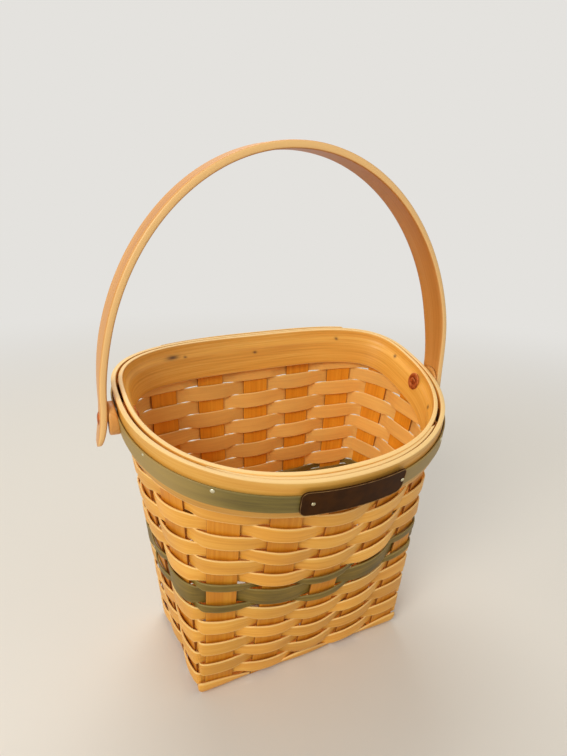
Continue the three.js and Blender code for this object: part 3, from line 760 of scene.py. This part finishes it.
def makeBand(name, replaces, side, settings, seed, wood=bandWood, stain=None):
    # A profile carried under the rim line, set off the wall to one side; a lap's ends are drawn in.
    isRing = "from" not in settings
    profile = stripProfile(settings["height"], settings["thickness"], settings["easing"],
                           across=settings.get("across", 10), support=0.1)
    if isRing:
        along = np.arange(settings["samples"]) * rimLength / settings["samples"]
    else:
        along = np.linspace(settings["from"], settings["to"], settings["samples"])
    middle = settings.get("middle", side * (settings.get("inner", 0.0) + settings["thickness"] / 2))
    taper = np.ones_like(along)
    if "taper" in settings:
        startTaper, endTaper = settings["taper"]
        taper = thinEnd + (1 - thinEnd) * drawnIn(along, along[0], startTaper, along[-1], endTaper)
    length = wallLength(along)
    middleLevel = length - settings.get("drop", 0.0) * taper - settings["height"] / 2
    level = middleLevel[:, None] + profile[None, :, 0]
    near = middle - side * settings["thickness"] / 2
    reach = near + (profile[None, :, 1] + side * settings["thickness"] / 2) * taper[:, None]
    fromTop = settings["height"] / 2 - profile[:, 0]
    if "pinch" in settings:
        farShare = 0.5 + profile[:, 1] * side / settings["thickness"]
        nearPinch, farPinch = settings["pinch"]
        pinch = 1 - smoothStep((fromTop - settings["pinchDepth"]) / settings["pinchDepth"])
        pinch = pinch * (nearPinch + (farPinch - nearPinch) * farShare)
        middleApart, runApart, shareApart = settings["apart"]
        together = 1 - shareApart * np.exp(-((along - middleApart) / runApart) ** 2)
        reach = reach - side * together[:, None] * pinch[None, :]
        reach = reach + settings.get("follow", 0.0) * flare(fromTop)[None, :]
    base = wallPoints(along[:, None], level, 0.0)
    _, _, out, _ = wallFrame(along, middleLevel)
    grid = base + out[:, None, :] * reach[..., None]
    tone = stripTone(along, profile, settings["height"], seed, settings["toneSpread"])
    # Lightness of the whole piece: on the inner and outer band, painted light and shade.
    tone[..., 0] += settings.get("lighter", 0.0)
    # Painted shade on the outer band's face below the trim, under its overhang.
    belowTrim = fromTop - trim["drop"] - trim["height"]
    tone[..., 0] -= settings.get("shaded", 0.0) * smoothStep((belowTrim + 1) / 1.5)
    across = profile[None, :, 0] - settings["height"] / 2
    for markAlong, markDrop, halfLong, halfHigh in settings.get("marks", ()):
        away = np.mod(along - markAlong + rimLength / 2, rimLength) - rimLength / 2
        far = (away[:, None] / halfLong) ** 2 + ((across + markDrop) / halfHigh) ** 2
        isInside = profile[None, :, 1] * side > 0
        tone[..., 2] = np.maximum(tone[..., 2], np.exp(-far) * isInside)
    if stain is not None:
        tone[..., 2] = stain(along)[:, None]
    makePiece(name, grid, isRing, wood, replaces, stripGrain(along, profile, seed), tone)


def sideStain(along):
    # The green strip is browner round the left side, and a little at the right front.
    return 0.7 * drawnIn(along, 322, 50, 530, 60) + 0.6 * drawnIn(along, 100, 50, 252, 20)


makeBand("outer_band_wood", ["outer_band"], 1, outerBand, 101)
makeBand("inner_band_wood", ["inner_band"], -1, innerBand, 102)
makeBand("outer_band_lap", [], 1, outerLap, 104)
makeBand("rim_filler", [], -1, filler, 105)
makeBand("trim_green_strip", ["trim_strip"], 1, trim, 103, trimWood, stain=sideStain)
print("bands bent")

# The hinge line and what sits on it. These pieces are drawn with the hinge along x through the origin.
hinge = {
    "drop": 9.9,
    "setback": 2.6,
    "turn": math.radians(4.9),  # its left end stands towards the back
    "clearance": 0.3,
    "bushingLength": 3.1,
    "bushingRadius": 9.5,
    "bushingEasing": 1.1,
    "rivetRadius": 2.0,
    "headRadius": 4.2,
    "headHeight": 1.6,
    "burrRadius": 5.6,
    "burrThickness": 0.8,
    "peenRadius": 2.6,
    "peenHeight": 0.8,
    "gap": 0.05,  # between copper and what it lies on
    "bushingGap": 0.1,
    "bushingPress": 0.4,  # how deep a bushing is pressed into the green strip
    "headRim": 0.35,
    "tipRadius": 0.01,
    # the burr's rings from its face to its back: change of its radius, share of its thickness
    "burrRings": ((-1.2, 1.0), (-0.4, 0.8), (0.0, 0.4), (0.0, 0.0), (-0.3, 0.0)),
    "segments": 64,
    "sheetReach": 14.0,  # how far round the pivot the wall is sampled, and how far over its top
    "sheetOver": 4.0,
    "sheetSteps": 15,
}
bail = {
    "width": 17.0,
    "thickness": 4.6,
    "crownThickness": 4.4,
    "legThickness": 4.0,  # shaved thinner than the crown
    "shift": {-1: -1.05, 1: -2.2},  # the legs stand a little to the left, as bent by hand
    "crownShift": -0.3,
    "twist": {-1: math.radians(-5), 1: math.radians(13)},  # and turn towards the front
    "splay": 4.2,  # how far the left tail turns out
    "easing": 1.3,
    "rise": 146.4,
    "straight": 10.6,
    "tail": 15.5,
    "tailThinning": 0.45,
    "firstTurn": 0.05,
    "tipStart": 0.1,  # so that the very end has some thickness
    "tipRound": 1.8,
    "twistFrom": 9.0,  # the height over the hinge where the twist starts, and the run to its full angle
    "twistRun": 40.0,
    "tailSteps": 16,
    "legSteps": 12,
    "archSteps": 150,
    "seed": 110,
    "toneSpread": 0.14,
    "insideShade": 0.6,  # painted shade on the inner face, most of all under the crown
    "legShareShade": 0.3,  # how much of that the legs have
}
pivotUpright = countAcross + countDeep // 2
pivotZ = readTable(rimTable, uprightAlong(pivotUpright))[2] - hinge["drop"]
pivotUp = wallFrame(uprightAlong(pivotUpright))[1]
pivotLevel = (pivotZ - wall["bendHeight"]) / pivotUp[2]
pivotY = wallPoints(uprightAlong(pivotUpright), pivotLevel, 0.0)[1] + hinge["setback"]
turnCos, turnSin = math.cos(hinge["turn"]), math.sin(hinge["turn"])


def toHinge(grid):
    # Turned about the upright axis and moved to the pivots.
    x, y, z = np.moveaxis(grid, -1, 0)
    return np.stack([x * turnCos + y * turnSin, y * turnCos - x * turnSin + pivotY, z + pivotZ], axis=-1)


def wallSheet(offset, side, follow=0.0):
    # How far out along the hinge the wall's sheet lies, as a quadratic in y and z fitted to sampled points.
    upright = pivotUpright if side > 0 else countAcross - 1 - pivotUpright
    spread = np.linspace(-hinge["sheetReach"], hinge["sheetReach"], hinge["sheetSteps"])
    along = uprightAlong(upright) + spread[:, None]
    level = np.minimum(pivotLevel + spread[None, :], wallLength(along) + hinge["sheetOver"])
    x, y, z = wallPoints(along, level, offset + follow * flare(wallLength(along) - level)).reshape(-1, 3).T
    y = y - pivotY

    def terms(y, z):
        return np.stack([np.ones_like(y), y, z, y * y, y * z, z * z], axis=-1)

    out = side * (x * turnCos - y * turnSin)
    fit = np.linalg.lstsq(terms(x * turnSin + y * turnCos, z - pivotZ), out, rcond=None)[0]
    return fit, lambda y, z: terms(y, z) @ fit


# A sheet's first number is how far out it lies at the pivot, and the next two are its slopes there.
middleSheets = [wallSheet(0.0, side)[0] for side in (-1, 1)]
trimOuter = trim["inner"] + trim["thickness"]
bandOuter = bands["inner"] + bands["thickness"]
trimReach = max(sheet[0] + trimOuter * math.hypot(1, sheet[1], sheet[2]) for sheet in middleSheets)
bailInner = trimReach + hinge["bushingLength"]
bailOuter = bailInner + bail["thickness"]
legInner = (bailInner + bailOuter - bail["legThickness"]) / 2
legOuter = (bailInner + bailOuter + bail["legThickness"]) / 2
print("hinge line at", round(pivotY, 3), round(pivotZ, 3))
print("bail from", round(bailInner, 2), "to", round(bailOuter, 2))


def bothLegs(side, arch, mirror=1):
    # One tail and leg, the arch, and the other leg and tail.
    return np.concatenate([side, arch, mirror * side[::-1]])


def makeBail():
    # Each half: the round tail (half width r sin t), the straight leg, and half an ellipse over the top.
    # It is thickest over the top, thinner in the legs, and goes down to a round edge at the tails' ends.
    radius = bail["width"] / 2
    legX = (legInner + legOuter) / 2
    legShare = bail["legThickness"] / bail["crownThickness"]
    rise = bail["rise"] - bail["straight"] - bail["thickness"] / 2
    turn = np.linspace(bail["firstTurn"], math.pi / 2, bail["tailSteps"])
    tailZ = radius * (1 - np.cos(turn)) - bail["tail"]
    legZ = np.linspace(tailZ[-1], bail["straight"], bail["legSteps"] + 2)[1:-1]
    sideZ = np.concatenate([tailZ, legZ])
    sideHalf = np.concatenate([radius * np.sin(turn), np.full(len(legZ), radius)])
    sideThick = legShare * (1 - bail["tailThinning"] * np.clip(-sideZ / bail["tail"], 0, 1) ** 2)
    fromTip = np.clip((sideZ + bail["tail"] + bail["tipStart"]) / bail["tipRound"], 0, 1)
    sideThick *= np.sqrt(1 - (1 - fromTip) ** 2)
    angle = np.linspace(0, math.pi, bail["archSteps"] + 1)
    awayX, awayZ = rise * np.cos(angle), legX * np.sin(angle)
    size = np.hypot(awayX, awayZ)
    legs = np.ones(len(sideZ))
    archThick = legShare + (1 - legShare) * np.sin(angle)
    splay = bail["splay"] * np.clip((bail["straight"] - sideZ) / (bail["straight"] + bail["tail"]), 0, 1) ** 2
    right, left = bail["shift"][1], bail["shift"][-1]
    archShift = np.where(angle < math.pi / 2, right, left)
    archShift += (bail["crownShift"] - archShift) * np.sin(angle)
    leftX = legs * (left - legX) - splay[::-1]
    x = np.concatenate([legs * (legX + right), legX * np.cos(angle) + archShift, leftX])
    z = bothLegs(sideZ, bail["straight"] + rise * np.sin(angle))
    outX = bothLegs(legs, awayX / size, -1)
    outZ = bothLegs(legs * 0, awayZ / size)
    sideways = bothLegs(legs, np.cos(angle), -1)
    twist = np.where(sideways > 0, bail["twist"][1], bail["twist"][-1]) * np.abs(sideways)
    twist *= smoothStep((z - bail["twistFrom"]) / bail["twistRun"])
    twistCos, twistSin = np.cos(twist)[:, None], np.sin(twist)[:, None]
    half = bothLegs(sideHalf, np.full(len(angle), radius))
    thick = bothLegs(sideThick, archThick)
    profile = stripProfile(bail["width"], bail["crownThickness"], bail["easing"], across=6)
    across, out = profile[:, 0] / radius, profile[:, 1]
    grid = np.zeros((len(x), len(profile), 3))
    wide, deep = across[None, :] * half[:, None], out[None, :] * thick[:, None]
    deep, wide = deep * twistCos - wide * twistSin, wide * twistCos + deep * twistSin
    grid[..., 0] = x[:, None] + outX[:, None] * deep
    grid[..., 1] = wide
    grid[..., 2] = z[:, None] + outZ[:, None] * deep
    trail = runningLength(np.hypot(np.diff(x), np.diff(z)))
    tone = stripTone(trail, profile, bail["width"], bail["seed"], bail["toneSpread"])
    # Painted shade on the inner face, darkest under the crown and less down the legs.
    least = bail["legShareShade"]
    innerShade = bail["insideShade"] * (least + (1 - least) * np.sqrt(1 - sideways ** 2))
    isInnerFace = out < -0.45 * bail["crownThickness"]
    tone[..., 2] = innerShade[:, None] * isInnerFace
    makePiece("bail_wood", toHinge(grid), False, bailWood, ["bail"],
              stripGrain(trail, profile, bail["seed"]), tone, "bail")


def makeTurned(node, finish, side, radii, reach, material, isRing):
    # Rings round the hinge line: each has a radius, and reach(y, z) gives how far out along it each point is.
    radii = np.array(radii)[:, None]
    angle = np.arange(hinge["segments"])[None, :] * 2 * math.pi / hinge["segments"]
    y, z = radii * np.cos(angle), radii * np.sin(angle)
    x = np.stack([side * place(y[row], z[row]) for row, place in enumerate(reach)])
    grain = np.stack([z * mm + side, x * 0, y * mm + x * 0.4 * mm], axis=-1)
    grid = toHinge(np.stack([x, y, z], axis=-1))
    makePiece(f"{node}_{finish}", grid, isRing, material, [node], grain)


def flat(x):
    return lambda y, z: np.full_like(y, x)


def raised(sheet, rise):
    return lambda y, z: sheet(y, z) + rise


def makeBushing(word, side):
    # A wooden disc that lies flat against the bail outside and is pressed into the green strip inside.
    outer = legInner + side * bail["shift"][side] - hinge["bushingGap"]
    big, soft = hinge["bushingRadius"], hinge["bushingEasing"]
    bore = hinge["rivetRadius"] + hinge["clearance"]
    _, near = wallSheet(trimOuter - hinge["bushingPress"], side)
    turn = np.linspace(0, math.pi / 2, 5)
    radii = [bore, *(big - soft + soft * np.sin(turn)), *(big - soft + soft * np.cos(turn)), bore]
    reach = [flat(outer), *[flat(outer - soft * (1 - c)) for c in np.cos(turn)]]
    reach += [*[raised(near, soft * (1 - s)) for s in np.sin(turn)], near]
    makeTurned(f"bushing_{word}", "turned", side, radii, reach, bailWood, True)


def makeBurr(word, side, behind):
    # A copper washer, slightly domed, that follows the inner band behind it.
    bore, thickness = hinge["rivetRadius"] + hinge["gap"], hinge["burrThickness"]
    radii = [bore, *[hinge["burrRadius"] + change for change, _ in hinge["burrRings"]], bore]
    rises = [thickness, *[thickness * share for _, share in hinge["burrRings"]], 0]
    reach = [raised(behind, -rise) for rise in rises]
    makeTurned(f"burr_{word}", "copper", side, radii, reach, copperMetal, True)


def makeRivet(word, side, burrX):
    # A domed head outside the bail, the shank, and the smaller dome of the hammered end inside the burr.
    headX, endX = legOuter + side * bail["shift"][side] + hinge["gap"], burrX - hinge["gap"]
    dome = np.linspace(0, math.pi / 2, 7)
    headRadii = hinge["headRadius"] * np.cos(dome) + hinge["tipRadius"]
    headReach = headX + hinge["headRim"] + (hinge["headHeight"] - hinge["headRim"]) * np.sin(dome)
    peenRadii = hinge["peenRadius"] * np.cos(dome) + hinge["tipRadius"]
    peenReach = endX - hinge["peenHeight"] * np.sin(dome)
    radii = [*peenRadii[::-1], hinge["rivetRadius"], hinge["rivetRadius"], hinge["headRadius"], *headRadii]
    reach = [*peenReach[::-1], endX, headX, headX, *headReach]
    makeTurned(f"rivet_{word}", "copper", side, radii, [flat(x) for x in reach], copperMetal, False)


makeBail()
for word, side in (("left", -1), ("right", 1)):
    fit, behind = wallSheet(hinge["gap"] - bandOuter, side, innerBand["follow"])
    makeBushing(word, side)
    makeBurr(word, side, behind)
    makeRivet(word, side, fit[0] - hinge["burrThickness"])
print("bail bent and riveted")

# Name plate, left bare
plate = {
    "length": 61.5,
    "height": 16.4,
    "thickness": 0.9,
    "corner": 4.0,
    "drop": 4.0,
    "inner": 6.8,
    "easing": 0.25,
    "steps": 60,
    "rimRadius": 0.2,
    "rimInset": 0.35,
    "rimRaise": 0.3,
    "rimSteps": (40, 8),  # along a long side and a short one
    "brads": (293.6, 240.1),
    "bradRadius": 1.15,
    "bradHeight": 0.6,
}
trimBrads = {
    "places": (  # length round the rim, drop from its top, size
        (341.1, 9.8, 1.0),
        (380.1, 9.2, 0.65),
        (197.5, 9.8, 1.0),
        (158.0, 9.5, 0.8),
        (448.0, 9.8, 0.9),
        (92.0, 9.8, 0.9),
    ),
    "radius": 1.25,
    "height": 0.55,
}
bradShape = {
    "under": 0.25,  # how far a dome starts under the surface, and how far it ends before its tip, as turns
    "tip": 0.05,
    "rings": 7,
    "segments": 20,
}
plateFace = plate["inner"] + plate["thickness"]


def makePlate():
    # Rounded corners: the height is drawn in at each end by r - sqrt(r^2 - (r - d)^2).
    corner, length = plate["corner"], plate["length"]
    eased = corner * (1 - np.cos(np.linspace(0.1, math.pi / 2, 9)))
    between = np.linspace(corner, length - corner, plate["steps"])[1:-1]
    stops = np.concatenate([eased, between, length - eased[::-1]])
    fromEnd = np.minimum(np.minimum(stops, length - stops), corner)
    inset = corner - np.sqrt(corner ** 2 - (corner - fromEnd) ** 2)
    along = rimLength / 2 - length / 2 + stops
    top = wallLength(along) - plate["drop"]
    profile = stripProfile(plate["height"], plate["thickness"], plate["easing"], across=6)
    offset = plate["inner"] + plate["thickness"] / 2
    grid = wallStrip(along, top - plate["height"] + inset, top - inset, offset, profile)
    makePiece("name_plate_bare", grid, False, plateMetal, ["name_plate"])


def makePlateRim():
    # A fine wire round the plate: a rounded rectangle walked at even steps, with a circle carried along it.
    halfLong, halfHigh = plate["length"] / 2 - plate["rimInset"], plate["height"] / 2 - plate["rimInset"]
    radius = plate["corner"] - plate["rimInset"]
    turn = np.linspace(0, math.pi / 2, 9)
    middles = np.array([(1, 1), (-1, 1), (-1, -1), (1, -1)]) * [halfLong - radius, halfHigh - radius]
    pieces = []
    for quarter, middle in enumerate(middles):
        angle = quarter * math.pi / 2 + turn
        arc = middle + radius * np.stack([np.cos(angle), np.sin(angle)], axis=1)
        side = middles[(quarter + 1) % 4] - middle
        count = plate["rimSteps"][quarter % 2]
        pieces += [arc, arc[-1] + side * np.linspace(0, 1, count + 2)[1:-1, None]]
    path = np.concatenate(pieces)
    ahead = np.roll(path, -1, axis=0) - np.roll(path, 1, axis=0)
    ahead /= np.linalg.norm(ahead, axis=1, keepdims=True)
    sideways = np.stack([ahead[:, 1], -ahead[:, 0]], axis=1)
    angle = np.arange(8) * math.pi / 4
    around = path[:, None, :] + sideways[:, None, :] * (plate["rimRadius"] * np.cos(angle))[None, :, None]
    along = rimLength / 2 + around[..., 0]
    level = wallLength(along) - plate["drop"] - plate["height"] / 2 + around[..., 1]
    offset = plateFace + plate["rimRadius"] * (plate["rimRaise"] + np.sin(angle))[None, :]
    grid = wallPoints(along, level, offset)
    makePiece("name_plate_rim", grid, True, plateEdgeMetal)


def makeBrad(name, along, drop, offset, radius, height):
    # A low dome on the wall: rings shrink as cos t while they rise as sin t.
    dome = np.linspace(0, math.pi / 2 - bradShape["tip"], bradShape["rings"])
    turn = np.concatenate([[-bradShape["under"]], dome])
    angle = np.arange(bradShape["segments"]) * 2 * math.pi / bradShape["segments"]
    ringRadius = radius * np.cos(turn)[:, None]
    level = wallLength(along) - drop + ringRadius * np.sin(angle)[None, :]
    rise = (height * np.sin(turn))[:, None]
    grid = wallPoints(along + ringRadius * np.cos(angle)[None, :], level, offset + rise)
    makePiece(name, grid, False, bradMetal)


makePlate()
makePlateRim()
for word, spot in zip(("left", "right"), plate["brads"]):
    drop, radius, height = plate["drop"] + plate["height"] / 2, plate["bradRadius"], plate["bradHeight"]
    makeBrad(f"plate_brad_{word}", spot, drop, plateFace, radius, height)
for number, (spot, drop, size) in enumerate(trimBrads["places"]):
    radius, height = trimBrads["radius"] * size, trimBrads["height"] * size
    makeBrad(f"trim_brad_{number + 1}", spot, drop, trimOuter, radius, height)
print("plate and brads set")

# Floor, light and camera
stage = {
    "floor": paint(226, 222, 214),
    "background": paint(228, 226, 222),
    "fadeFrom": 0.32,  # how far from the basket the floor starts to turn into the background, in metres
    "fadeTo": 1.1,
    "floorRadius": 6.0,
    "floorCorners": 96,
    "floorHeight": -0.0002,
    "floorRoughness": 0.9,
    "worldStrength": 0.5,
    "lamps": {  # place, height aimed at, size, power and colour
        "keyLamp": ((-1.1, -0.75, 1.0), 0.12, 0.7, 14.5, (1.0, 0.96, 0.89)),
        "fillLamp": ((0.9, -0.8, 0.8), 0.12, 0.8, 0.9, (1.0, 0.97, 0.92)),
        "backLamp": ((0.1, 0.6, 1.3), 0.15, 0.8, 7.5, (1.0, 0.97, 0.93)),
    },
}


def seenDirectly(tree):
    # 1 for what the camera, a mirror or glass sees, 0 for the light that falls on things.
    path = addNode(tree, "LightPath").outputs
    total = path["Is Camera Ray"]
    for name in ("Is Glossy Ray", "Is Transmission Ray"):
        total = addNode(tree, "Math", {0: total, 1: path[name]}, operation="MAXIMUM").outputs[0]
    return total


def makeFloor():
    # Pale paper that turns into the background colour far from the basket.
    mesh = bpy.data.meshes.new("floor")
    count, radius = stage["floorCorners"], stage["floorRadius"]
    angle = np.arange(count) * 2 * math.pi / count
    height = np.full(count, stage["floorHeight"])
    points = np.stack([radius * np.cos(angle), radius * np.sin(angle), height], axis=1)
    mesh.from_pydata(points.tolist(), [], [list(range(count))])
    floor = bpy.data.objects.new("floor", mesh)
    bpy.context.collection.objects.link(floor)
    material, tree, shader = startMaterial("floorPaper")
    shader.inputs["Base Color"].default_value = stage["floor"]
    shader.inputs["Roughness"].default_value = stage["floorRoughness"]
    place = addNode(tree, "TexCoord").outputs["Object"]
    away = addNode(tree, "VectorMath", {0: place}, operation="LENGTH").outputs["Value"]
    limits = {"From Min": stage["fadeFrom"], "From Max": stage["fadeTo"]}
    fade = addNode(tree, "MapRange", {"Value": away}, limits, interpolation_type="SMOOTHSTEP")
    factors = {0: fade.outputs["Result"], 1: seenDirectly(tree)}
    share = addNode(tree, "Math", factors, operation="MULTIPLY").outputs[0]
    glow = addNode(tree, "Emission", {}, {"Color": stage["background"], "Strength": 1.0}).outputs[0]
    mix = addNode(tree, "MixShader", {0: share, 1: shader.outputs[0], 2: glow})
    tree.links.new(mix.outputs[0], tree.nodes["Material Output"].inputs["Surface"])
    mesh.materials.append(material)


def addLamp(name, place, aimHeight, size, power, colour):
    data = bpy.data.lights.new(name, "AREA")
    data.size = size
    data.energy = power
    data.color = colour
    lamp = bpy.data.objects.new(name, data)
    bpy.context.collection.objects.link(lamp)
    lamp.location = place
    lamp.rotation_mode = "QUATERNION"
    lamp.rotation_quaternion = (Vector(place) - Vector((0, 0, aimHeight))).to_track_quat("Z", "Y")


def makeWorld():
    world = bpy.data.worlds.new("studio")
    bpy.context.scene.world = world
    world.use_nodes = True
    tree = world.node_tree
    light = tree.nodes["Background"]
    light.inputs["Color"].default_value = stage["background"]
    light.inputs["Strength"].default_value = stage["worldStrength"]
    seen = addNode(tree, "Background", {}, {"Color": stage["background"], "Strength": 1.0})
    mix = addNode(tree, "MixShader", {0: seenDirectly(tree), 1: light.outputs[0], 2: seen.outputs[0]})
    tree.links.new(mix.outputs[0], tree.nodes["World Output"].inputs["Surface"])


def makeCamera():
    # Fitted to the photograph: the rim, the walls and the bail fall where the picture has them.
    data = bpy.data.cameras.new("camera")
    data.sensor_width = 36
    data.lens = 26.32
    data.clip_start, data.clip_end = 0.01, 20
    camera = bpy.data.objects.new("camera", data)
    bpy.context.collection.objects.link(camera)
    right, up, forward = (0.8953, -0.4449, 0.0225), (0.1277, 0.3046, 0.9439), (0.4268, 0.8422, -0.3295)
    turn = Matrix([right, up, [-v for v in forward]]).transposed().to_4x4()
    camera.matrix_world = Matrix.Translation((-0.1476, -0.2718, 0.2990)) @ turn
    bpy.context.scene.camera = camera


makeFloor()
for name, settings in stage["lamps"].items():
    addLamp(name, *settings)
makeWorld()
makeCamera()
bpy.context.scene.view_settings.view_transform = "Standard"
print("stage lit")
